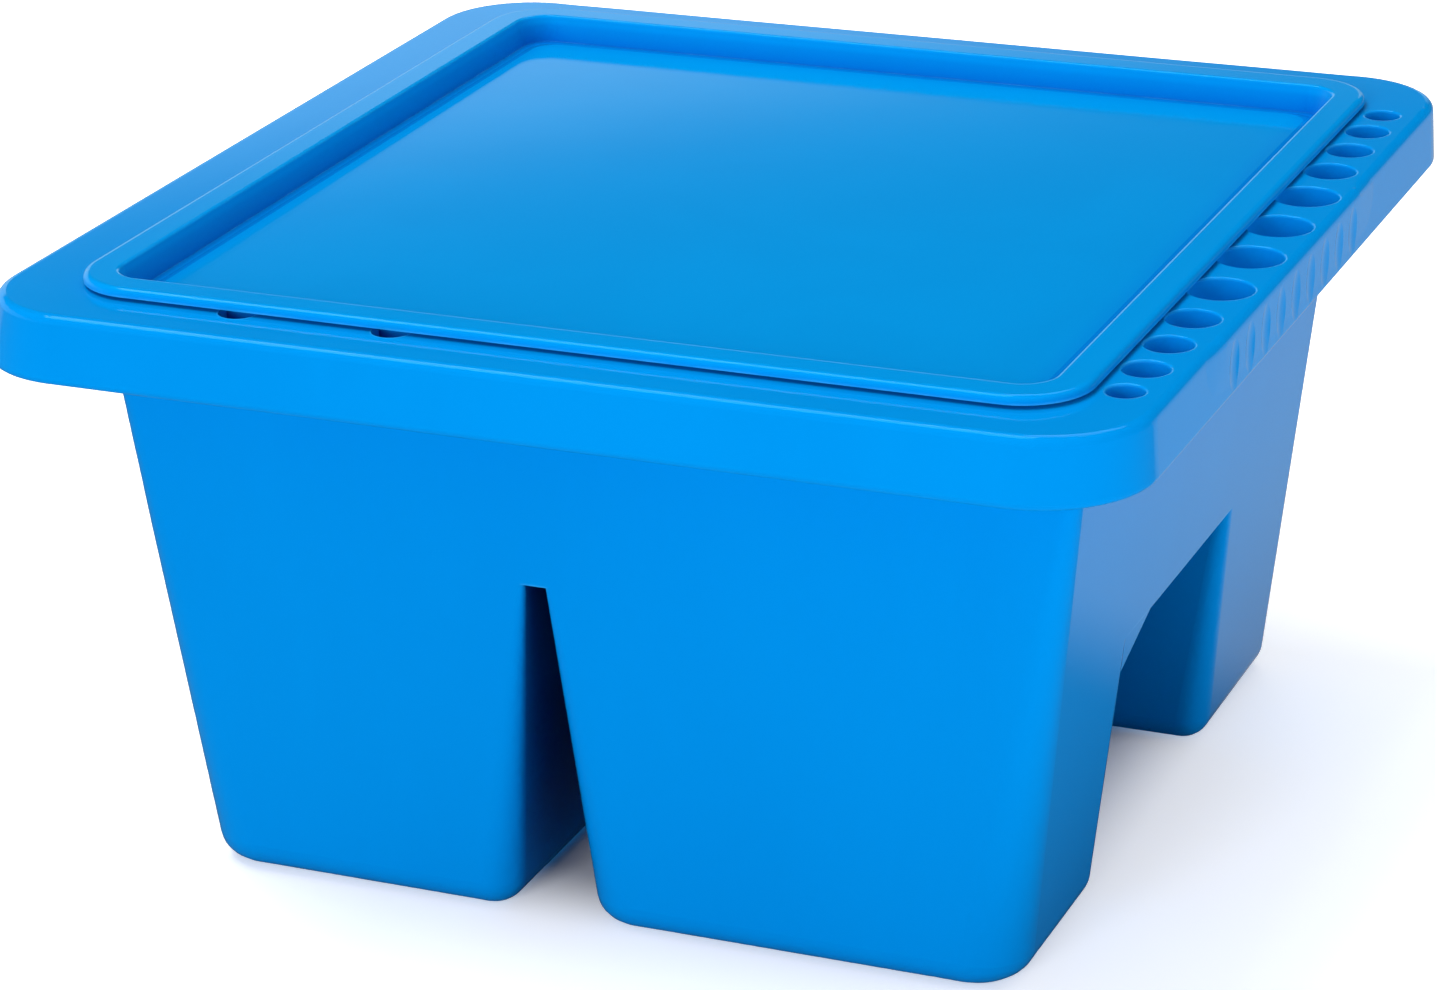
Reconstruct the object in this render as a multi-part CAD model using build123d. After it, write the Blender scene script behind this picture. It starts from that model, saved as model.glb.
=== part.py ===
from build123d import *
import math
import os

# A square brush-washing tub with three wells, moulded in one piece, and a lift-off palette lid.
# Millimetres. The origin is the middle of the base, +Z is up, -Y is the front with the narrow
# notch between two wells, and +X is the side whose rim has the row of brush holes.

# ---- overall ----
rim_width = 163.6            # X, over the lower edge of the skirt
rim_depth = 165.0            # Y, over the lower edge of the skirt
rim_height = 88.4            # top of the rim above the table
wall = 2.0                   # moulded wall thickness
least_inside_corner = 0.9    # inside corners never get sharper than this
inside_corner_share = 0.05   # and follow the outside corner by this share
join = 0.4                   # how far one feature of a moulding is sunk into the next

# ---- rim and skirt ----
skirt_height = 9.2
skirt_flare = 1.6            # the skirt is this much narrower at its top, front and back
skirt_flare_left = 2.1
skirt_flare_right = 0.4      # steeper beside the brush holes
rim_corner_radius = 15.5
rim_edge_radius = 1.3        # rounding of the outer top edge
skirt_lip_radius = 0.7       # rounding of the outer lower edge

# ---- outside of the body: four leaning sides ----
body_top_width = 140.4       # X, at the lower edge of the skirt
body_top_depth = 120.8       # Y, at the lower edge of the skirt
base_width = 120.8
base_depth = 120.4
corner_radius_top = 1.4      # the front upright corners are nearly sharp under the rim
corner_radius_base = 8.5     # and round at the base
back_corner_radius_top = 4.2
back_corner_radius_base = 4.8
base_edge_radius = 4.2
inside_edge_radius = 2.0

# ---- notch between the left well and the two right wells, open to the front and back ----
notch_x = -7.0
notch_height = 50.1
notch_width_top = 2.9
notch_width_base = 11.0
notch_corner_top = 0.8       # rounding of the wells' upright corners beside the notch
notch_corner_base_left = 5.0
notch_corner_base_right = 7.5

# ---- arch between the two right wells, open to the right side ----
arch_height = 39.7
arch_front_top = 23.8        # from the middle to the front well, under the bridge
arch_front_base = 24.8
arch_back_top = 20.8         # from the middle to the back well
arch_back_base = 24.8
arch_corner_front = 4.4      # rounding of the wells' upright corners at the arch
arch_corner_back_top = 1.9
arch_corner_back_base = 4.4
ramp_run = 14.5              # the bridge's floor slopes down into the front well
ramp_drop = 6.3
ramp_set_back = 0.4          # the slope's side lies this far inside the side wall

# ---- seat for the lid, sunk in the rim ----
seat_depth = 3.7
seat_clearance = 0.4
seat_clearance_left = 2.5    # the lid lies to the right in its seat

# ---- divider between the left well and the right wells ----
divider_top = 80.0

# ---- brush holes in the right rim: radii from the middle of the row outwards ----
hole_radii = [4.6, 4.5, 3.6, 3.25, 3.1, 2.5]
hole_row_inset = 6.2         # from the rim's right edge in to the row's centre line
hole_row_margin = 21.0       # from the rim's end to the centre of the last hole
hole_edge_radius = 0.35
tube_wall = 1.1              # wall of the short tube under each hole
tube_height = 7.0

# ---- shallow flutes in the skirt beside the large holes ----
flute_count = 9
flute_pitch = 7.2
flute_middle_y = -6.0
flute_depth = 0.35           # at a flute's middle; it runs out all round
flute_width = 4.9            # along the rim
flute_length = 7.5           # down the skirt, from the end of the rim's rounding
pad_swell = 0.4              # the fluted stretch stands this far out at its top
pad_blend = 9.0
least_step = 0.03            # keeps edges that would coincide just apart

# ---- brush rests: two slots through the front rim over the left well ----
rest_width = 5.4
rest_centres = [-43.0, -20.6]
rest_reach = 8.55            # from the skirt's lower edge back to the slot's round end
rest_depth = 3.7

# ---- ribs that brushes are scrubbed on ----
rib_height = 1.1
rib_width = 1.8
rib_pitch = 6.5
shelf_rib_count = 4
floor_rib_count = 9
rib_margin = 8.0

# ---- palette lid ----
lid_width = 141.8            # X
lid_depth = 144.9            # Y
lid_x = 1.3                  # the lid and its seat lie a little toward the brush holes
lid_corner_radius = 9.5
lid_ring_width = 4.8
lid_ring_thickness = 1.2
lid_ring_gap = 0.5           # air between the ring and the rim
lid_tray_depth = 4.0         # from the ring's top down to the foot of the tray's wall
lid_tray_lean = 1.0
lid_panel_rise = 0.4         # the panel stands this much above the foot of the wall
lid_panel_bevel = 2.6
lid_wall = 1.6
lid_edge_radius = 0.9
lid_inner_edge_radius = 0.5

# ---- worked out ----
skirt_bottom = rim_height - skirt_height
hole_row_x = rim_width / 2 - hole_row_inset
seat_z = rim_height - seat_depth
lid_tray_corner = lid_corner_radius - lid_ring_width
shelf_z = arch_height + wall


def between(low_value, high_value, share):
    """A value part of the way from low to high."""
    return low_value + (high_value - low_value) * share


def half_width(z):
    """Half of the body's outer width at height z."""
    return between(base_width, body_top_width, z / skirt_bottom) / 2


def half_depth(z):
    """Half of the body's outer depth at height z."""
    return between(base_depth, body_top_depth, z / skirt_bottom) / 2


def front_corner(z):
    """Radius of the body's front upright corners at height z."""
    return between(corner_radius_base, corner_radius_top, min(z / skirt_bottom, 1.0))


def back_corner(z):
    """Radius of the body's back upright corners at height z."""
    return between(back_corner_radius_base, back_corner_radius_top, min(z / skirt_bottom, 1.0))


def notch_half(z):
    """Half of the notch's width at height z."""
    return between(notch_width_base, notch_width_top, min(z / notch_height, 1.0)) / 2


def notch_corner(z, base_radius):
    """Radius of the upright corners beside the notch at height z."""
    return between(base_radius, notch_corner_top, min(z / notch_height, 1.0))


def arch_wall(z, end):
    """Distance from the middle to the arch's wall at height z: end is -1 in front and 1 at the back."""
    share = min(z / arch_height, 1.0)
    if end < 0:
        return between(arch_front_base, arch_front_top, share)
    return between(arch_back_base, arch_back_top, share)


def arch_corner(z, end):
    """Radius of the upright corners beside the arch at height z."""
    if end < 0:
        return arch_corner_front
    return between(arch_corner_back_base, arch_corner_back_top, min(z / arch_height, 1.0))


def inside(radius, inset):
    """Radius of a corner moved inward by inset; the outside keeps its own radius."""
    if inset == 0:
        return radius
    return max(radius - inset, least_inside_corner + inside_corner_share * radius)


def section(x0, x1, y0, y1, z, radii):
    """A rectangle at height z whose corners, from front left round to back left, have these radii."""
    front_left, front_right, back_right, back_left = radii
    corners = [
        (x0, y0, front_left, 180),
        (x1, y0, front_right, 270),
        (x1, y1, back_right, 0),
        (x0, y1, back_left, 90),
    ]
    points = []
    for x, y, radius, start in corners:
        side_x = 1 if x == x0 else -1
        side_y = 1 if y == y0 else -1
        centre_x = x + side_x * radius
        centre_y = y + side_y * radius
        for turn in (0, 45, 90):
            angle = math.radians(start + turn)
            points.append((centre_x + radius * math.cos(angle), centre_y + radius * math.sin(angle), z))
    edges = []
    for corner in range(4):
        first, middle, last = points[corner * 3:corner * 3 + 3]
        following = points[(corner * 3 + 3) % 12]
        edges.append(Edge.make_three_point_arc(first, middle, last))
        edges.append(Edge.make_line(last, following))
    return Face(Wire(edges))


def tapered(low, high):
    """A block with leaning sides between two sections."""
    return Part() + loft([low, high], ruled=True)


def round_foot(block, radius):
    """Round the lower edges of a tapered block."""
    return fillet(block.edges().group_by(Axis.Z)[0], radius)


# ------------------------------------------------------------------ the wells, outside and inside
def left_well_section(z, inset):
    """The left well at height z, or its inside when inset is the wall."""
    front = inside(front_corner(z), inset)
    back = inside(back_corner(z), inset)
    inner = inside(notch_corner(z, notch_corner_base_left), inset)
    x0 = -half_width(z) + inset
    x1 = notch_x - notch_half(z) - inset
    depth = half_depth(z) - inset
    return section(x0, x1, -depth, depth, z, [front, inner, inner, back])


def right_well_section(z, inset, end):
    """A right well at height z: end is -1 for the front well and 1 for the back one."""
    inner = inside(notch_corner(z, notch_corner_base_right), inset)
    arch = inside(arch_corner(z, end), inset)
    x0 = notch_x + notch_half(z) + inset
    x1 = half_width(z) - inset
    far = half_depth(z) - inset
    near = arch_wall(z, end) + inset
    if end < 0:
        return section(x0, x1, -far, -near, z, [inner, inside(front_corner(z), inset), arch, arch])
    return section(x0, x1, near, far, z, [arch, arch, inside(back_corner(z), inset), inner])


def bridge_section(z, inset):
    """The right half above the arch, which joins the two right wells."""
    front = inside(front_corner(z), inset)
    back = inside(back_corner(z), inset)
    inner = inside(notch_corner(z, notch_corner_base_right), inset)
    x0 = notch_x + notch_half(z) + inset
    x1 = half_width(z) - inset
    depth = half_depth(z) - inset
    return section(x0, x1, -depth, depth, z, [inner, front, back, inner])


def whole_section(z, inset):
    """The whole body at height z."""
    front = inside(front_corner(z), inset)
    back = inside(back_corner(z), inset)
    width = half_width(z) - inset
    depth = half_depth(z) - inset
    return section(-width, width, -depth, depth, z, [front, front, back, back])


def body_outside():
    """The body without its hollows: three wells, the bridge and the part above the notch."""
    left = round_foot(tapered(left_well_section(0, 0), left_well_section(notch_height, 0)), base_edge_radius)
    body = left
    for end in (-1, 1):
        low = right_well_section(0, 0, end)
        high = right_well_section(arch_height, 0, end)
        body += round_foot(tapered(low, high), base_edge_radius)
    body += tapered(bridge_section(arch_height, 0), bridge_section(notch_height, 0))
    body += tapered(whole_section(notch_height, 0), whole_section(seat_z - wall / 2, 0))
    return body + ramp_block(0)


def ramp_plan(z, inset):
    """The wedge's outline from above at height z."""
    start = -arch_front_top - 2 * wall
    left = notch_x + notch_half(z) + inset
    right = half_width(z) - ramp_set_back - inset
    corners = [
        (left, start, z),
        (right, start, z),
        (right, start + ramp_run, z),
        (left, start + ramp_run, z),
    ]
    return make_face(Polyline(*corners, close=True))


def ramp_block(inset):
    """The wedge under the bridge's sloping floor, beside the front well, or its hollow."""
    start = -arch_front_top - 2 * wall
    high = arch_height + inset
    low = high - ramp_drop
    profile = Polyline((0, start, low), (0, start + ramp_run, high), (0, start, high), close=True)
    wedge = extrude(make_face(profile), amount=body_top_width, dir=(1, 0, 0), both=True)
    return wedge & tapered(ramp_plan(low - wall, inset), ramp_plan(high + wall, inset))


def body_hollows():
    """Everything taken out of the body from above."""
    above_notch = notch_height + wall
    hollow = round_foot(tapered(left_well_section(wall, wall), left_well_section(above_notch, wall)), inside_edge_radius)
    for end in (-1, 1):
        low = right_well_section(wall, wall, end)
        high = right_well_section(shelf_z, wall, end)
        hollow += round_foot(tapered(low, high), inside_edge_radius)
    hollow += tapered(bridge_section(shelf_z, wall), bridge_section(above_notch, wall))
    hollow += tapered(whole_section(above_notch, wall), whole_section(seat_z, wall))
    hollow += ramp_block(wall)
    # The divider stays standing in the middle of the upper hollow.
    divider = Pos(notch_x, 0, (above_notch + divider_top) / 2) * Box(wall, rim_depth, divider_top - above_notch)
    return hollow - divider


# ------------------------------------------------------------------------------ rim and skirt
def rim_section(z, inset):
    """The skirt's outline at height z."""
    share = (z - skirt_bottom) / skirt_height
    left = -rim_width / 2 + skirt_flare_left * share + inset
    right = rim_width / 2 - skirt_flare_right * share - inset
    depth = rim_depth / 2 - skirt_flare * share - inset
    radius = rim_corner_radius - skirt_flare * share - inset
    return section(left, right, -depth, depth, z, [radius] * 4)


def seat_section(z, grow):
    """The lid seat's outline at height z."""
    left = lid_x - lid_width / 2 + lid_ring_width - lid_wall - seat_clearance_left - grow
    right = lid_x + lid_width / 2 - lid_ring_width + lid_wall + seat_clearance + grow
    depth = lid_depth / 2 - lid_ring_width + lid_wall + seat_clearance + grow
    radius = lid_tray_corner + lid_wall + seat_clearance + grow
    return section(left, right, -depth, depth, z, [radius] * 4)


def flute_places():
    """Where along Y the flutes lie."""
    first = flute_middle_y - (flute_count - 1) / 2 * flute_pitch
    return [first + step * flute_pitch for step in range(flute_count)]


def fluted_pad():
    """The stretch of skirt beside the large holes, which swells slightly at its top."""
    front = flute_places()[0] - flute_pitch / 2
    back = flute_places()[-1] + flute_pitch / 2
    inner = rim_width / 2 - skirt_flare_right - wall
    outlines = []
    for z, swell in ((skirt_bottom + skirt_lip_radius * 2, 0.0), (rim_height, pad_swell)):
        edge = rim_width / 2 - skirt_flare_right * (z - skirt_bottom) / skirt_height - least_step
        points = [
            (inner, front - pad_blend, z),
            (edge, front - pad_blend, z),
            (edge + swell, front, z),
            (edge + swell, back, z),
            (edge, back + pad_blend, z),
            (inner, back + pad_blend, z),
        ]
        outlines.append(make_face(Polyline(*points, close=True)))
    return Part() + loft(outlines, ruled=True)


def flute_cutters():
    """Rings standing on edge outside the pad. Each bites a long shallow hollow into it."""
    across = (flute_width / 2) ** 2 / (2 * flute_depth)
    along = (flute_length / 2) ** 2 / (2 * flute_depth)
    x = rim_width / 2 - skirt_flare_right + pad_swell - flute_depth + along
    z = rim_height - rim_edge_radius - flute_length / 2
    return [Pos(x, y, z) * Rot(90, 0, 0) * Torus(along - across, across) for y in flute_places()]


def rim():
    """The flat rim, its turned-down skirt, and the walls of the lid's seat."""
    outside = tapered(rim_section(skirt_bottom, 0), rim_section(rim_height, 0))
    outside = fillet(outside.edges().group_by(Axis.Z)[0], skirt_lip_radius) + fluted_pad()
    outside = fillet(outside.edges().group_by(Axis.Z)[-1], rim_edge_radius)
    under_rim = rim_height - wall
    inside = tapered(rim_section(skirt_bottom, wall), rim_section(under_rim, wall))
    seat_wall = tapered(seat_section(seat_z - wall, wall), seat_section(under_rim, wall))
    for cutter in flute_cutters():
        outside -= cutter
    return outside - inside + seat_wall


def seat_hollow():
    """The sunk seat that the palette's tray hangs in."""
    return tapered(seat_section(seat_z, 0), seat_section(rim_height + wall, 0))


# ------------------------------------------------------------------------------ brush holes and rests
def brush_holes():
    """Centres and radii of the row of holes, largest in the middle."""
    radii = list(reversed(hole_radii)) + hole_radii
    touching = sum(first + second for first, second in zip(radii, radii[1:]))
    stretch = (rim_depth - 2 * hole_row_margin) / touching
    y = -rim_depth / 2 + hole_row_margin
    holes = [(y, radii[0])]
    for first, second in zip(radii, radii[1:]):
        y += (first + second) * stretch
        holes.append((y, second))
    return holes


def hole_tubes():
    """The short tubes under the brush holes."""
    tubes = Part()
    length = tube_height - wall / 2
    for y, radius in brush_holes():
        tubes += Pos(hole_row_x, y, rim_height - wall / 2 - length / 2) * Cylinder(radius + tube_wall, length)
    return tubes


def hole_cutters():
    """What is bored out of the rim and the tubes, with a rounded mouth."""
    cutters = Part()
    reach = tube_height + skirt_height
    for y, radius in brush_holes():
        place = Pos(hole_row_x, y, rim_height)
        bore = Pos(0, 0, -reach / 2) * Cylinder(radius, reach)
        mouth_block = Pos(0, 0, -hole_edge_radius / 2) * Cylinder(radius + hole_edge_radius, hole_edge_radius)
        ring = Pos(0, 0, -hole_edge_radius) * Torus(radius + hole_edge_radius, hole_edge_radius)
        cutters += place * (bore + (mouth_block - ring))
    return cutters


def rest_cutters():
    """The two brush rests: slots from the hollow out through the front rim, with round ends."""
    cutters = Part()
    end_y = -rim_depth / 2 + rest_reach + rest_width / 2
    inner_y = -half_depth(seat_z) + 2 * wall
    length = inner_y - end_y
    for x in rest_centres:
        middle_z = rim_height + wall - (rest_depth + wall) / 2
        straight = Pos(x, end_y + length / 2, middle_z) * Box(rest_width, length, rest_depth + wall)
        end = Pos(x, end_y, middle_z) * Cylinder(rest_width / 2, rest_depth + wall)
        cutters += straight + end
    return cutters


# ------------------------------------------------------------------------------ scrubbing ribs
def rib(length):
    """One rib along X with a rounded crest."""
    block = Box(length, rib_width, 2 * rib_height)
    return fillet(block.edges().filter_by(Axis.X).group_by(Axis.Z)[-1], rib_width / 2 - least_step)


def scrub_ribs():
    """Ribs on the bridge's flat shelf and on the floor of the left well."""
    ribs = Part()
    shelf_left = notch_x + notch_half(shelf_z) + wall + rib_margin
    shelf_right = half_width(shelf_z) - wall - rib_margin
    shelf_back = arch_back_top - rib_margin / 2
    for step in range(shelf_rib_count):
        place = Pos((shelf_left + shelf_right) / 2, shelf_back - step * rib_pitch, shelf_z)
        ribs += place * rib(shelf_right - shelf_left)
    floor_left = -half_width(wall) + wall + rib_margin
    floor_right = notch_x - notch_half(wall) - wall - rib_margin
    for step in range(floor_rib_count):
        y = (step - (floor_rib_count - 1) / 2) * rib_pitch
        ribs += Pos((floor_left + floor_right) / 2, y, wall) * rib(floor_right - floor_left)
    return ribs


# ------------------------------------------------------------------------------ the two mouldings
def make_tub():
    """The whole tub: one moulding."""
    tub = body_outside() + rim() + hole_tubes()
    tub -= body_hollows()
    tub -= seat_hollow()
    tub -= hole_cutters()
    tub -= rest_cutters()
    return tub + scrub_ribs()


def lid_section(z, inset, radius):
    """The lid's outline at height z, moved in by inset."""
    width = lid_width / 2 - inset
    depth = lid_depth / 2 - inset
    return section(lid_x - width, lid_x + width, -depth, depth, z, [radius] * 4)


def inside_ring(edge):
    """Whether an edge of the lid lies on or inside the ring's inner outline."""
    box = edge.bounding_box()
    width = lid_width / 2 - lid_ring_width + least_step
    depth = lid_depth / 2 - lid_ring_width + least_step
    fits_x = lid_x - width <= box.min.X and box.max.X <= lid_x + width
    return fits_x and -depth <= box.min.Y and box.max.Y <= depth


def make_lid():
    """The palette lid: a flat ring round a shallow tray."""
    ring_low = rim_height + lid_ring_gap
    ring_top = ring_low + lid_ring_thickness
    foot = ring_top - lid_tray_depth
    ring = tapered(lid_section(ring_low, 0, lid_corner_radius), lid_section(ring_top, 0, lid_corner_radius))
    ring = fillet(ring.edges().group_by(Axis.Z)[-1], lid_edge_radius)
    mouth_inset = lid_ring_width
    foot_inset = mouth_inset + lid_tray_lean
    foot_corner = lid_tray_corner - lid_tray_lean
    tray = tapered(
        lid_section(seat_z, foot_inset - lid_wall, foot_corner + lid_wall),
        lid_section(ring_top - lid_ring_thickness / 2, mouth_inset - lid_wall, lid_tray_corner + lid_wall),
    )
    tray = round_foot(tray, lid_edge_radius)
    hollow = tapered(lid_section(foot, foot_inset, foot_corner), lid_section(ring_top, mouth_inset, lid_tray_corner))
    lid = ring + tray - hollow
    mouth = [edge for edge in lid.edges().group_by(Axis.Z)[-1] if inside_ring(edge)]
    lid = fillet(mouth, lid_inner_edge_radius)
    panel = tapered(
        lid_section(foot - join, foot_inset - join / 2, foot_corner),
        lid_section(foot + lid_panel_rise, foot_inset + lid_panel_bevel, foot_corner),
    )
    return lid + panel


parts = {
    "tub": make_tub(),
    "lid": make_lid(),
}
os.makedirs("parts", exist_ok=True)
for name, shape in parts.items():
    export_step(shape, f"parts/{name}.step")
    print(name, "solids", len(shape.solids()), "volume", round(shape.volume), "valid", shape.is_valid)
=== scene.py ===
# %% [markdown]
# # A brush washing tub with a palette lid
#
# The object is a square tub for rinsing paint brushes. It is made of two mouldings in the same
# blue plastic: the tub, with its wells, its turned-down skirt and its row of brush holes, and a
# shallow palette that lies on top as a lid.
#
# The shapes come from a CAD model, which is loaded here as a fixed frame. This lesson gives them
# their looks: a plastic, a table, a light and a camera. Everything is in metres, with the origin
# in the middle of the base, +Z up, and -Y towards the front.

# %% Load the two mouldings
import math
import bpy
from mathutils import Matrix, Vector


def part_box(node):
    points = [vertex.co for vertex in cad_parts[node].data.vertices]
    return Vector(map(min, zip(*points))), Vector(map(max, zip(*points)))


MM_IN_A_METRE = 1000.0

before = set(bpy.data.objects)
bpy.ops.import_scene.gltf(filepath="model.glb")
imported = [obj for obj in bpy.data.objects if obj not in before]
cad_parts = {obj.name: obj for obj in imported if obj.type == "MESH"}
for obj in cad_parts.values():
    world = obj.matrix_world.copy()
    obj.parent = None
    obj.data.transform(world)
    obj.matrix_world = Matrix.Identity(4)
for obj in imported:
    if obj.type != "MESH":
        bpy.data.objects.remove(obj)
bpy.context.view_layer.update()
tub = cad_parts["tub"]
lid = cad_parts["lid"]
for moulding in (tub, lid):
    low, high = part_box(moulding.name)
    size = [round((high[i] - low[i]) * MM_IN_A_METRE, 1) for i in range(3)]
    print(moulding.name, "measures", size, "mm and has", len(moulding.data.polygons), "faces")

# %% [markdown]
# ## The camera
#
# The camera looks down on the front right corner from a little way off, as is usual for small
# goods in a catalogue. It could be placed by hand, but a view is easier to understand and to
# change when it is given by an azimuth round the object, an elevation above the table and a
# distance. It is then rolled a little and slid sideways and up, which shifts the object in the
# view without turning it. A long lens keeps the sides nearly parallel. The Standard view transform
# shows the colours as they are, where a film-like one would grey the clear blue.

# %% Place the camera
AZIMUTH = math.radians(23.03)
ELEVATION = math.radians(21.621)
ROLL = math.radians(-1.35)
DISTANCE = 0.6731
SLIDE_RIGHT = -0.005055
SLIDE_UP = 0.03875
LENS_MM = 113.68
SENSOR_MM = 36
NEAREST_SEEN = 0.01
FARTHEST_SEEN = 20


def direction(azimuth, elevation):
    """The way out from the object. The azimuth is 0 at the front and grows towards the right."""
    level = math.cos(elevation)
    return Vector((math.sin(azimuth) * level, -math.cos(azimuth) * level, math.sin(elevation)))


back = direction(AZIMUTH, ELEVATION)
right = Vector((math.cos(AZIMUTH), math.sin(AZIMUTH), 0))
up = back.cross(right)
rolled_right = math.cos(ROLL) * right + math.sin(ROLL) * up
rolled_up = math.cos(ROLL) * up - math.sin(ROLL) * right
place = back * DISTANCE + right * SLIDE_RIGHT + up * SLIDE_UP

camera_data = bpy.data.cameras.new("studio_camera")
camera_data.lens = LENS_MM
camera_data.sensor_width = SENSOR_MM
camera_data.clip_start = NEAREST_SEEN
camera_data.clip_end = FARTHEST_SEEN
camera = bpy.data.objects.new("studio_camera", camera_data)
bpy.context.scene.collection.objects.link(camera)
turn = Matrix((rolled_right, rolled_up, back)).transposed()
camera.matrix_world = Matrix.Translation(place) @ turn.to_4x4()
bpy.context.scene.camera = camera
bpy.context.scene.view_settings.view_transform = "Standard"
print("camera at", [round(v, 3) for v in place])

# %% [markdown]
# ## Building blocks for the plastic
#
# Both mouldings are the same kind of plastic, so the small effects that make it look real are
# shader node groups. Each is built once, takes its sizes as inputs, and is placed in both
# materials with its own values. A group gives out only masks and heights, and the shader itself
# stays in the material.
#
# Nodes could be added one by one, but most of that code would be the same three lines. A small
# helper adds a node, sets it up, and fills each input with a value or with a link.

# %% A helper for making nodes
class Builder:
    """Adds nodes to a tree."""

    def __init__(self, tree):
        self.tree = tree

    def fill(self, socket, value):
        """Gives a socket a plain value, or a link from another node's output."""
        if isinstance(value, bpy.types.NodeSocket):
            self.tree.links.new(value, socket)
        else:
            socket.default_value = value

    def add(self, kind, settings=None, *by_place, **by_name):
        """Adds a node. Its inputs are filled by place or by name, with _ for a space."""
        node = self.tree.nodes.new(kind)
        for name, value in (settings or {}).items():
            setattr(node, name, value)
        for socket, value in zip(node.inputs, by_place):
            self.fill(socket, value)
        for name, value in by_name.items():
            self.fill(node.inputs[name.replace("_", " ")], value)
        return node

    def maths(self, operation, first, second=0.0, clamp=False):
        """Works out one number from two."""
        settings = {"operation": operation, "use_clamp": clamp}
        return self.add("ShaderNodeMath", settings, first, second).outputs[0]

    def ramp(self, value, low, high, out_low=0.0, out_high=1.0):
        """Goes smoothly from out_low to out_high while the value goes from low to high."""
        settings = {"interpolation_type": "SMOOTHSTEP"}
        node = self.add("ShaderNodeMapRange", settings, value, low, high, out_low, out_high)
        return node.outputs["Result"]

    def along(self, place, way):
        """How far a place lies in the given way."""
        settings = {"operation": "DOT_PRODUCT"}
        return self.add("ShaderNodeVectorMath", settings, place, way).outputs["Value"]

    def stretched(self, place, factors):
        """The place with each coordinate multiplied, which squeezes a texture laid over it."""
        settings = {"operation": "MULTIPLY"}
        return self.add("ShaderNodeVectorMath", settings, place, factors).outputs[0]

    def mixed(self, mask, under, over):
        """One colour laid over another where the mask is 1."""
        node = self.add("ShaderNodeMix", {"data_type": "RGBA"}, Factor=mask, A=under, B=over)
        return node.outputs["Result"]


def new_group(name, inputs, outputs):
    """An empty node group with named sockets. Returns it with its builder and its two end nodes."""
    group = bpy.data.node_groups.new(name, "ShaderNodeTree")
    for socket_name, kind, default in inputs:
        socket = group.interface.new_socket(name=socket_name, in_out="INPUT", socket_type=kind)
        if default is not None:
            socket.default_value = default
    for socket_name in outputs:
        kind = "NodeSocketFloat"
        group.interface.new_socket(name=socket_name, in_out="OUTPUT", socket_type=kind)
    builder = Builder(group)
    return group, builder, builder.add("NodeGroupInput"), builder.add("NodeGroupOutput")


print("node helper ready")

# %% [markdown]
# ### Moulded skin
#
# A moulded wall is never quite flat. The tool's polish leaves a fine orange peel, a few tenths of
# a millimetre across, and the plastic shrinks a little unevenly as it cools, which bends
# highlights in waves about a centimetre long. Geometry could not carry anything this fine, so two
# noise textures, one for each, make a height, and the material feeds it through a bump node.

# %% The group for the moulded skin
def make_moulded_skin():
    group, b, given, out = new_group(
        "moulded skin",
        [
            ("Place", "NodeSocketVector", None),
            ("Peel size mm", "NodeSocketFloat", 0.5),
            ("Peel height", "NodeSocketFloat", 0.1),
            ("Wave size mm", "NodeSocketFloat", 14.0),
            ("Wave height", "NodeSocketFloat", 1.0),
        ],
        ["Height", "Peel"],
    )
    place = given.outputs["Place"]
    peel_scale = b.maths("DIVIDE", MM_IN_A_METRE, given.outputs["Peel size mm"])
    wave_scale = b.maths("DIVIDE", MM_IN_A_METRE, given.outputs["Wave size mm"])
    peel = b.add("ShaderNodeTexNoise", Vector=place, Scale=peel_scale, Detail=2.0, Roughness=0.45)
    wave = b.add("ShaderNodeTexNoise", Vector=place, Scale=wave_scale, Detail=1.0, Roughness=0.3)
    peel_part = b.maths("MULTIPLY", peel.outputs[0], given.outputs["Peel height"])
    wave_part = b.maths("MULTIPLY", wave.outputs[0], given.outputs["Wave height"])
    b.fill(out.inputs["Height"], b.maths("ADD", peel_part, wave_part))
    b.fill(out.inputs["Peel"], peel.outputs[0])
    return group


moulded_skin = make_moulded_skin()
print("built", moulded_skin.name)

# %% [markdown]
# ### Edge wear and painted highlight
#
# Edges are handled most, so they get polished and a touch paler. The paler colour is also a
# painted highlight: it stands in for the bright lines of light along the rounded edges. The mark
# could be painted on by hand, but the bevel node finds every edge by itself: it gives the normal
# that a spot would have if the edges were rounded off, and where that differs from the real normal
# there is an edge. A patchy noise breaks the mark up, so that it isn't the same all the way along.

# %% The group for edge wear and painted highlight
WEAR_AND_HIGHLIGHT_STARTS = 0.005
WEAR_AND_HIGHLIGHT_IS_FULL = 0.16
BEVEL_SAMPLES = 4
THINNEST_WEAR_AND_HIGHLIGHT = 0.35


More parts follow.
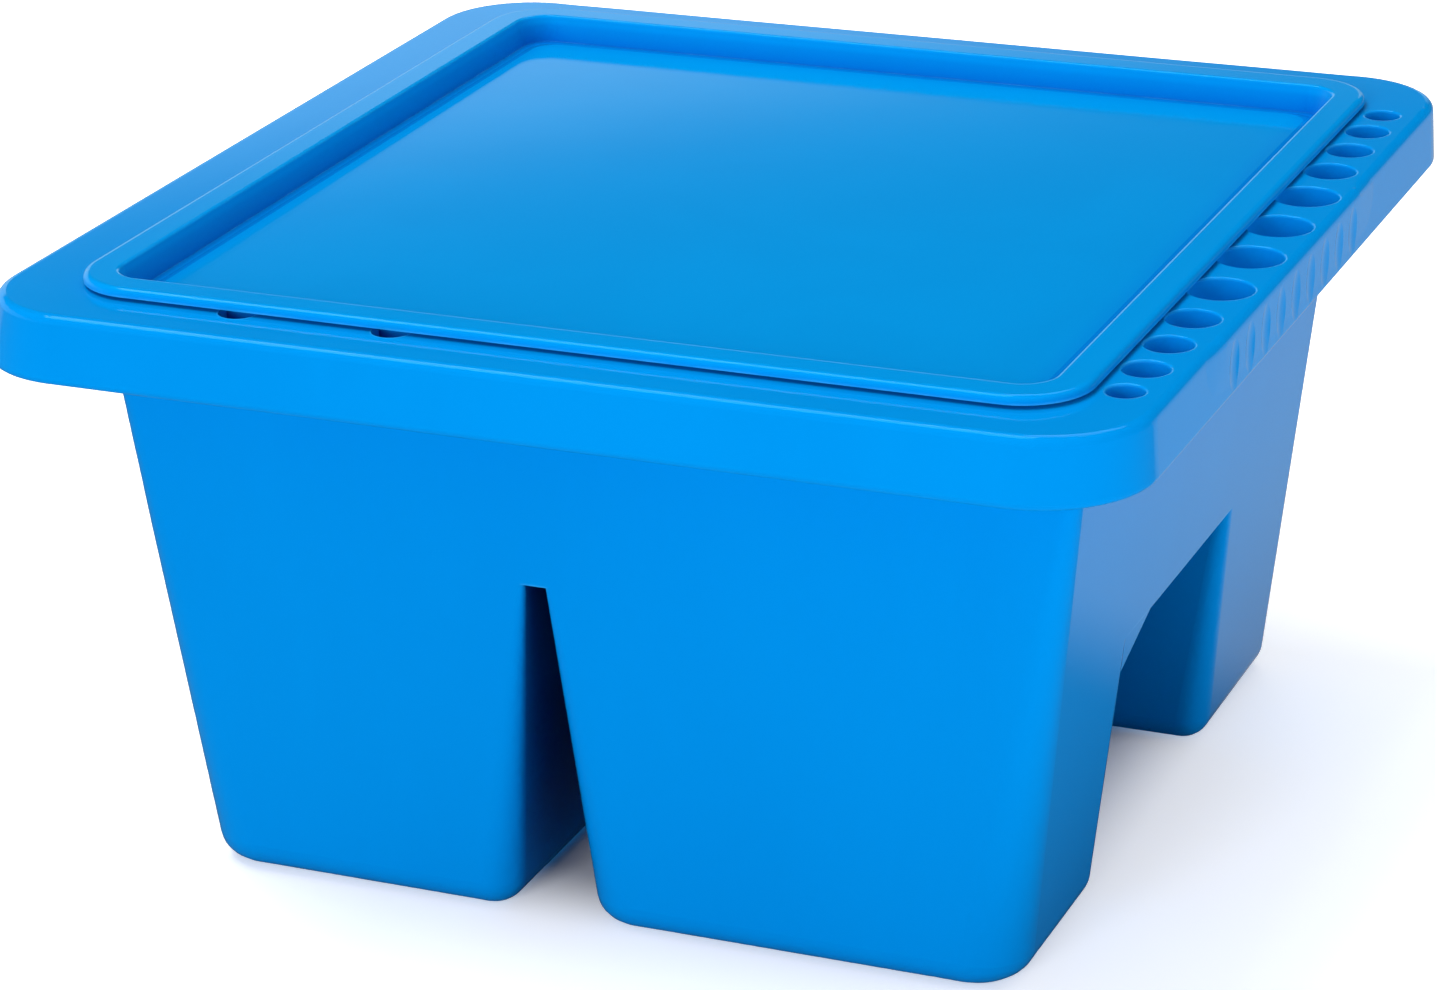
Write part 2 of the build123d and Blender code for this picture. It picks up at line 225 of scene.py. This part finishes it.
def make_edge_wear_and_highlight():
    group, b, given, out = new_group(
        "edge wear and highlight",
        [
            ("Place", "NodeSocketVector", None),
            ("Width mm", "NodeSocketFloat", 0.6),
            ("Patch size mm", "NodeSocketFloat", 6.0),
            ("Amount", "NodeSocketFloat", 0.9),
        ],
        ["Mask"],
    )
    width = b.maths("MULTIPLY", given.outputs["Width mm"], 1 / MM_IN_A_METRE)
    rounded = b.add("ShaderNodeBevel", {"samples": BEVEL_SAMPLES}, width)
    true_normal = b.add("ShaderNodeNewGeometry").outputs["Normal"]
    turned_away = b.maths("SUBTRACT", 1.0, b.along(rounded.outputs[0], true_normal))
    # The edge mask marks real wear and also lays a painted highlight along the edges.
    edge = b.ramp(turned_away, WEAR_AND_HIGHLIGHT_STARTS, WEAR_AND_HIGHLIGHT_IS_FULL)
    place = given.outputs["Place"]
    scale = b.maths("DIVIDE", MM_IN_A_METRE, given.outputs["Patch size mm"])
    patch = b.add("ShaderNodeTexNoise", Vector=place, Scale=scale, Detail=3.0, Roughness=0.6)
    broken = b.ramp(patch.outputs[0], low=0.35, high=0.65, out_low=THINNEST_WEAR_AND_HIGHLIGHT)
    mask = b.maths("MULTIPLY", b.maths("MULTIPLY", edge, broken), given.outputs["Amount"])
    b.fill(out.inputs["Mask"], mask)
    return group


edge_wear_and_highlight = make_edge_wear_and_highlight()
print("built", edge_wear_and_highlight.name)

# %% [markdown]
# ### Flow marks
#
# The pigment is mixed into the plastic before it is shot into the mould, and it isn't spread
# perfectly. A single flat colour would look painted. A slow noise, stretched along the height of
# the walls because the plastic flows that way, lets the colour drift by a few percent instead.

# %% The group for flow marks
def make_flow_marks():
    group, b, given, out = new_group(
        "flow marks",
        [
            ("Place", "NodeSocketVector", None),
            ("Size mm", "NodeSocketFloat", 30.0),
            ("Stretch", "NodeSocketFloat", 0.3),
        ],
        ["Drift"],
    )
    scale = b.maths("DIVIDE", MM_IN_A_METRE, given.outputs["Size mm"])
    factors = b.add("ShaderNodeCombineXYZ", X=1.0, Y=1.0, Z=given.outputs["Stretch"]).outputs[0]
    place = b.stretched(given.outputs["Place"], factors)
    cloud = b.add(
        "ShaderNodeTexNoise", Vector=place, Scale=scale, Detail=4.0, Roughness=0.5, Distortion=0.6
    )
    b.fill(out.inputs["Drift"], b.ramp(cloud.outputs[0], low=0.3, high=0.7))
    return group


flow_marks = make_flow_marks()
print("built", flow_marks.name)

# %% [markdown]
# ### Scuffs
#
# Even a new tub has faint hair scratches from its packing. They are too shallow to model and too
# many to place one by one. A noise that is squeezed hard in two directions leaves thin streaks
# when only its peaks are kept. Two sets that lie at different angles cross each other. They only
# change how rough the surface is, so they show in the highlights and nowhere else.

# %% The group for scuffs
SCRATCH_SETS = ((0.5, 24.0), (1.9, 31.0))  # the angle in radians, and how thin the scratches are
SCRATCH_AXIS = (0.35, 0.25, 0.9)
SCRATCH_DEPTH_SQUEEZE = 6.0
SCRATCH_STARTS = 0.7
SCRATCH_IS_FULL = 0.8


def make_scuffs():
    group, b, given, out = new_group(
        "scuffs",
        [
            ("Place", "NodeSocketVector", None),
            ("Length mm", "NodeSocketFloat", 12.0),
            ("Amount", "NodeSocketFloat", 0.12),
        ],
        ["Mask"],
    )
    place = given.outputs["Place"]
    scale = b.maths("DIVIDE", MM_IN_A_METRE, given.outputs["Length mm"])
    marks = []
    for angle, squeeze in SCRATCH_SETS:
        turned = b.add("ShaderNodeVectorRotate", Vector=place, Axis=SCRATCH_AXIS, Angle=angle)
        thin = b.stretched(turned.outputs[0], (1.0, squeeze, SCRATCH_DEPTH_SQUEEZE))
        streak = b.add("ShaderNodeTexNoise", Vector=thin, Scale=scale, Detail=1.0, Roughness=0.5)
        marks.append(b.ramp(streak.outputs[0], SCRATCH_STARTS, SCRATCH_IS_FULL))
    both = b.maths("MAXIMUM", *marks)
    b.fill(out.inputs["Mask"], b.maths("MULTIPLY", both, given.outputs["Amount"]))
    return group


scuffs = make_scuffs()
print("built", scuffs.name)

# %% [markdown]
# ### Deep gaps: painted shade
#
# Dyed plastic swallows most of the light that gets into a narrow gap such as the notch, because
# the light has to bounce many times on blue walls before it comes out. More light bounces would
# show some of this, but slowly and with noise. The ambient occlusion node is quicker. It measures
# how open a spot is, from 0 to 1, looking only at the moulding's own walls. The mask is full at
# "Closed" and gone at "Open", and where it is full the material paints the plastic dark. This is
# painted shade: a dark colour laid in place of the light that the gap loses.
#
# The hollow of the skirt and the brush holes are closed in too, but light reaches them from the
# side and from above, and they stay blue. So the mask works only low down: it is full below one
# height and gone above another. On the tub it then takes in the notch, the arch and the corners
# of the wells, and on the lid the foot of the tray's wall.

# %% The group for painted shade in deep gaps
OCCLUSION_SAMPLES = 6


def make_painted_gap_shade():
    group, b, given, out = new_group(
        "painted shade in deep gaps",
        [
            ("Place", "NodeSocketVector", None),
            ("Reach mm", "NodeSocketFloat", 25.0),
            ("Closed", "NodeSocketFloat", 0.08),
            ("Open", "NodeSocketFloat", 0.3),
            ("Full below mm", "NodeSocketFloat", 55.0),
            ("None above mm", "NodeSocketFloat", 60.0),
        ],
        ["Mask"],
    )
    reach = b.maths("MULTIPLY", given.outputs["Reach mm"], 1 / MM_IN_A_METRE)
    settings = {"samples": OCCLUSION_SAMPLES, "only_local": True}
    # Painted shade: where the occlusion is low, the colour is made dark in place of real shading.
    around = b.add("ShaderNodeAmbientOcclusion", settings, Distance=reach).outputs["AO"]
    span = b.maths("SUBTRACT", given.outputs["Open"], given.outputs["Closed"])
    above_closed = b.maths("SUBTRACT", around, given.outputs["Closed"])
    openness = b.maths("DIVIDE", above_closed, span, clamp=True)
    height = b.add("ShaderNodeSeparateXYZ", None, given.outputs["Place"]).outputs["Z"]
    height_mm = b.maths("MULTIPLY", height, MM_IN_A_METRE)
    fade = b.maths("SUBTRACT", given.outputs["None above mm"], given.outputs["Full below mm"])
    under_limit = b.maths("SUBTRACT", given.outputs["None above mm"], height_mm)
    low_down = b.maths("DIVIDE", under_limit, fade, clamp=True)
    closed_in = b.maths("SUBTRACT", 1.0, openness)
    b.fill(out.inputs["Mask"], b.maths("MULTIPLY", closed_in, low_down))
    return group


painted_gap_shade = make_painted_gap_shade()
print("built", painted_gap_shade.name)

# %% [markdown]
# ## The blue plastic
#
# The plastic is dyed right through, and the mould's polish leaves it glossy. A paint-like coat
# would be wrong here, because there is no second layer. One Principled shader does it, with a
# deep, clear blue, a low roughness and a low specular level.
#
# Plain white gloss makes a dyed plastic look milky. So the gloss is tinted: a face that is seen
# square on mirrors no red at all and keeps its clear blue, and a slanting one still turns pale,
# because tinted gloss turns white towards grazing angles. A faint greenish sheen lifts the
# slanting faces a little more.
#
# The colour is laid on in three steps. It drifts with the flow marks, turns paler on worn edges,
# which is partly wear and partly a painted highlight, and goes dark in deep gaps, which is painted
# shade. The lid's gaps are much shallower than the tub's, so each moulding has its own limits for
# the painted shade. The lid is also a touch paler than the tub, since the two are moulded apart.

# %% Choose the dye, the gloss and the painted shade in the gaps
# The third colour is paler edge wear and partly a painted highlight; the fourth is painted shade
# for deep gaps.
TUB_DYE = {
    "deep": (0.0, 0.266, 0.75, 1),
    "clear": (0.0, 0.276, 0.77, 1),
    "worn and highlit": (0.05, 0.46, 0.95, 1),
    "shade in gaps": (0.0, 0.0, 0.2, 1),
}
LID_DYE = {
    "deep": (0.0, 0.282, 0.76, 1),
    "clear": (0.0, 0.292, 0.78, 1),
    "worn and highlit": (0.05, 0.48, 0.95, 1),
    "shade in gaps": (0.0, 0.06, 0.5, 1),
}
# Where the painted shade of the deep gaps is laid on each moulding.
TUB_GAP_SHADE = {
    "Reach mm": 25.0,
    "Closed": 0.26,
    "Open": 0.62,
    "Full below mm": 55.0,
    "None above mm": 60.0,
}
LID_GAP_SHADE = {
    "Reach mm": 6.0,
    "Closed": 0.3,
    "Open": 0.95,
    "Full below mm": 88.5,
    "None above mm": 89.2,
}
REFRACTION = 1.49
SPECULAR_LEVEL = 0.26
SPECULAR_TINT = (0.0, 0.55, 1.0, 1)
SHEEN = 0.05
SHEEN_ROUGHNESS = 0.5
SHEEN_TINT = (0.0, 0.9, 0.7, 1)
ROUGHNESS = 0.08
ROUGHER_BY_PEEL = 0.04
ROUGHER_BY_SCUFFS = 0.12
SMOOTHER_BY_WEAR = 0.08
WAVE_HEIGHT = 0.5
BUMP_STRENGTH = 0.12
BUMP_DEPTH = 0.00004
print("the plastic's roughness is", ROUGHNESS, "and its specular level", SPECULAR_LEVEL)

# %% Make the plastic
def make_plastic(name, dye, gap_shade_limits):
    material = bpy.data.materials.new(name)
    material.use_nodes = True
    material.node_tree.nodes.clear()
    b = Builder(material.node_tree)
    place = b.add("ShaderNodeTexCoord").outputs["Object"]
    waves = {"Wave height": WAVE_HEIGHT}
    skin = b.add("ShaderNodeGroup", {"node_tree": moulded_skin}, Place=place, **waves)
    wear_and_highlight = b.add("ShaderNodeGroup", {"node_tree": edge_wear_and_highlight}, Place=place).outputs["Mask"]
    flow = b.add("ShaderNodeGroup", {"node_tree": flow_marks}, Place=place).outputs["Drift"]
    scuff = b.add("ShaderNodeGroup", {"node_tree": scuffs}, Place=place).outputs["Mask"]
    gap_shade = b.add("ShaderNodeGroup", {"node_tree": painted_gap_shade}, Place=place, **gap_shade_limits).outputs["Mask"]

    colour = b.mixed(flow, dye["deep"], dye["clear"])
    # Paler edges: partly wear, partly a painted highlight.
    colour = b.mixed(wear_and_highlight, colour, dye["worn and highlit"])
    # Painted shade in the deep gaps.
    colour = b.mixed(gap_shade, colour, dye["shade in gaps"])

    peel = b.maths("MULTIPLY", skin.outputs["Peel"], ROUGHER_BY_PEEL)
    rough = b.maths("ADD", ROUGHNESS - ROUGHER_BY_PEEL / 2, peel)
    rough = b.maths("ADD", rough, b.maths("MULTIPLY", scuff, ROUGHER_BY_SCUFFS))
    rough = b.maths("SUBTRACT", rough, b.maths("MULTIPLY", wear_and_highlight, SMOOTHER_BY_WEAR), clamp=True)

    height = skin.outputs["Height"]
    bump = b.add("ShaderNodeBump", Height=height, Strength=BUMP_STRENGTH, Distance=BUMP_DEPTH)
    shader = b.add(
        "ShaderNodeBsdfPrincipled",
        Base_Color=colour,
        Roughness=rough,
        Normal=bump.outputs[0],
        IOR=REFRACTION,
        Specular_IOR_Level=SPECULAR_LEVEL,
        Specular_Tint=SPECULAR_TINT,
        Sheen_Weight=SHEEN,
        Sheen_Roughness=SHEEN_ROUGHNESS,
        Sheen_Tint=SHEEN_TINT,
    )
    b.add("ShaderNodeOutputMaterial", Surface=shader.outputs[0])
    return material


tub_plastic = make_plastic("tub_plastic", TUB_DYE, TUB_GAP_SHADE)
lid_plastic = make_plastic("lid_plastic", LID_DYE, LID_GAP_SHADE)
for moulding, plastic in ((tub, tub_plastic), (lid, lid_plastic)):
    if not moulding.material_slots:
        moulding.data.materials.append(plastic)
    for holder in moulding.material_slots:
        holder.material = plastic
    print(moulding.name, "is made of", plastic.name)

# %% [markdown]
# ## The table
#
# The tub stands on a plain white table that goes on far beyond the view. One large square is
# enough for its shape. It lies a hair below the feet, since two faces at the very same height
# flicker.
#
# In a studio, white and dark cards stand round the goods, so that an object is lit from one place
# and mirrors another. Here the Light Path node does the work of the cards, by telling which kind
# of ray has hit the table:
#
# - The camera sees a white table that glows a little by itself, except under the tub, so that
#   the object keeps its soft shadow.
# - Light that bounces off the table is even, and stronger to the right of the tub, which lifts
#   the right side.
# - Shiny surfaces mirror a table that is bright only behind the tub.
#
# From beneath, the table is transparent, so that the undersides can be looked at. It is also
# transparent to light that bounced less than a millimetre away, or the thin gap under the feet
# would come out black.

# %% Lay the table
TABLE_HALF_SIDE = 4.0
TABLE_GAP = 0.00005


def lay_table(half_side):
    mesh = bpy.data.meshes.new("table_top")
    corners = [
        (-half_side, -half_side, 0),
        (half_side, -half_side, 0),
        (half_side, half_side, 0),
        (-half_side, half_side, 0),
    ]
    mesh.from_pydata(corners, [], [(0, 1, 2, 3)])
    top = bpy.data.objects.new("table_top", mesh)
    bpy.context.scene.collection.objects.link(top)
    top.location.z = -TABLE_GAP
    return top


table = lay_table(TABLE_HALF_SIDE)
print("table laid,", 2 * TABLE_HALF_SIDE, "m wide")

# %% Give the table its brightness
WHITE_SEEN = 0.9
WHITE_BOUNCED = 0.5
WHITE_MIRRORED = 0.1
GLOW_SEEN = 0.5
GLOW_BOUNCED = 0.8
GLOW_MIRRORED = 0.35

# Each edge says where a glow starts and where it is full, in metres from the middle of the table.
NEAR_EDGE = (0.042, 0.062)
FAR_EDGE = (0.1, 0.25)
RIGHT_EDGE = (0.085, 0.12)
BACK_EDGE = (0.025, 0.065)
SLANTED_EDGE = (-0.0605, -0.0385)
BACK_LEFT = (-0.737, 0.676, 0.0)  # the way that the slanted edge is measured along

TOUCHING = 0.001


def by_ray(b, rays, seen, mirrored, bounced):
    """A brightness of its own for each kind of ray: the camera's, a mirrored one, a bounced one."""
    total = b.maths("MULTIPLY", rays.outputs["Is Camera Ray"], seen)
    total = b.maths("ADD", total, b.maths("MULTIPLY", rays.outputs["Is Glossy Ray"], mirrored))
    return b.maths("ADD", total, b.maths("MULTIPLY", rays.outputs["Is Diffuse Ray"], bounced))


def make_white_table():
    material = bpy.data.materials.new("white_table")
    material.use_nodes = True
    material.node_tree.nodes.clear()
    b = Builder(material.node_tree)
    rays = b.add("ShaderNodeLightPath")
    place = b.add("ShaderNodeTexCoord").outputs["Object"]
    across = b.add("ShaderNodeSeparateXYZ", None, place)

    outward = b.add("ShaderNodeVectorMath", {"operation": "ABSOLUTE"}, place).outputs[0]
    outward = b.add("ShaderNodeSeparateXYZ", None, outward)
    away = b.maths("MAXIMUM", outward.outputs["X"], outward.outputs["Y"])
    near_glow = b.ramp(away, *NEAR_EDGE, 0.0, GLOW_SEEN)
    far_glow = b.ramp(away, *FAR_EDGE, 0.0, 1.0 - GLOW_SEEN)
    seen = b.maths("ADD", near_glow, far_glow)

    mirrored = b.ramp(b.along(place, BACK_LEFT), *SLANTED_EDGE, 0.0, GLOW_MIRRORED)
    mirrored = b.maths("MULTIPLY", mirrored, b.ramp(across.outputs["Y"], *BACK_EDGE))
    bounced = b.ramp(across.outputs["X"], *RIGHT_EDGE, 0.0, GLOW_BOUNCED)

    white = by_ray(b, rays, WHITE_SEEN, WHITE_MIRRORED, WHITE_BOUNCED)
    matt = b.add("ShaderNodeBsdfDiffuse", Color=white)
    glow = b.add("ShaderNodeEmission", Strength=by_ray(b, rays, seen, mirrored, bounced))
    lit = b.add("ShaderNodeAddShader", None, matt.outputs[0], glow.outputs[0])

    beneath = b.add("ShaderNodeNewGeometry").outputs["Backfacing"]
    close = b.maths("LESS_THAN", rays.outputs["Ray Length"], TOUCHING)
    close = b.maths("MULTIPLY", rays.outputs["Is Diffuse Ray"], close)
    clear = b.add("ShaderNodeBsdfTransparent")
    see_through = b.maths("MAXIMUM", beneath, close)
    surface = b.add("ShaderNodeMixShader", None, see_through, lit.outputs[0], clear.outputs[0])
    b.add("ShaderNodeOutputMaterial", Surface=surface.outputs[0])
    return material


white_table = make_white_table()
table.data.materials.append(white_table)
print("the table is made of", white_table.name)

# %% [markdown]
# ## The room
#
# A room full of real walls would take long to trace and would be hard to tune. The world's colour
# can stand for all of it. It gives the object an even, dim fill, and the camera sees it as white.
#
# Shiny surfaces mirror something else: a bright low wall on the left, slightly bluish, and
# darkness above it and to the right. It makes the left parts of the lid and the rim pale. Where
# the wall stops, the paleness gives way to clear blue, so the wall's height and the slope of its
# top matter more than how bright it is. The top slopes down from left to right.

# %% Make the room
FILL = 0.38
LOW_WALL = 0.95
ABOVE_WALL = 0.01
WALL_UPRIGHT = (0.12, 0.0, 1.0)
WALL_TOP = (0.228, 0.25)
LEFT = (-1.0, 0.0, 0.0)
WALL_END = (-0.05, 0.25)
BEYOND_WALL_END = 0.05
WHITE = (1.0, 1.0, 1.0, 1)
WALL_TINT = (0.72, 0.93, 1.0, 1)


def make_room():
    world = bpy.data.worlds.new("pale_room")
    bpy.context.scene.world = world
    world.use_nodes = True
    world.node_tree.nodes.clear()
    b = Builder(world.node_tree)
    rays = b.add("ShaderNodeLightPath")
    glossy = rays.outputs["Is Glossy Ray"]
    way = b.add("ShaderNodeTexCoord").outputs["Generated"]
    wall = b.ramp(b.along(way, WALL_UPRIGHT), *WALL_TOP, LOW_WALL, ABOVE_WALL)
    length = b.ramp(b.along(way, LEFT), *WALL_END, BEYOND_WALL_END, 1.0)
    wall = b.maths("MULTIPLY", wall, length)
    through = rays.outputs["Is Transmission Ray"]
    seen = b.maths("ADD", rays.outputs["Is Camera Ray"], through, clamp=True)
    mirrored = b.maths("MULTIPLY", glossy, wall)
    filled = b.maths("SUBTRACT", 1.0, b.maths("ADD", seen, glossy, clamp=True))
    strength = b.maths("ADD", b.maths("ADD", seen, mirrored), b.maths("MULTIPLY", filled, FILL))
    tint = b.mixed(glossy, WHITE, WALL_TINT)
    sky = b.add("ShaderNodeBackground", Color=tint, Strength=strength)
    b.add("ShaderNodeOutputWorld", Surface=sky.outputs[0])
    return world


room = make_room()
print("made", room.name)

# %% [markdown]
# ## The soft boxes
#
# Small goods are lit with soft boxes, which are lamps behind a white cloth. Area lamps are just
# that, and their size gives the shadows their soft edge. A big one hangs overhead from the left,
# a second stands in front, and weak ones at the right and at the back keep those sides readable.
#
# A lamp is easier to set by what it does than in watts. So each one gets a level, which is how
# bright it makes a white card that faces it, and its power follows from the distance. The front
# and right ones are hidden from mirrors: seen from the back or the left, they would turn the
# glossy lid white.

# %% Hang the soft boxes
AIM_HEIGHT = 0.05
WARM = (1.0, 1.0, 0.94)
COOL = (0.92, 0.94, 1.0)
COOLER = (0.88, 0.9, 1.0)
NEUTRAL = (1.0, 1.0, 1.0)


def soft_box(name, azimuth, elevation, distance, size, level, tint, mirrored=True):
    """A lamp aimed at the object. A level of 1 makes a white card that faces it pure white."""
    data = bpy.data.lights.new(name, "AREA")
    data.shape = "RECTANGLE"
    data.size, data.size_y = size
    data.color = tint
    data.energy = level * (math.pi * distance) ** 2
    lamp = bpy.data.objects.new(name, data)
    lamp.visible_glossy = mirrored
    bpy.context.scene.collection.objects.link(lamp)
    aim = -direction(math.radians(azimuth), math.radians(elevation))
    place = Vector((0, 0, AIM_HEIGHT)) - aim * distance
    turn = aim.to_track_quat("-Z", "Y").to_matrix().to_4x4()
    lamp.matrix_world = Matrix.Translation(place) @ turn
    print(name, "gives", round(data.energy, 1), "W from", distance, "m away")


soft_box("overhead", -85, 70, distance=2.0, size=(1.2, 1.0), level=0.64, tint=WARM)
soft_box("front", -4, 12, distance=2.2, size=(0.8, 0.8), level=0.59, tint=COOL, mirrored=False)
soft_box("side", 98, 10, distance=2.2, size=(0.8, 0.8), level=0.2, tint=COOLER, mirrored=False)
soft_box("rear", 180, 60, distance=2.2, size=(1.0, 1.0), level=0.12, tint=NEUTRAL)
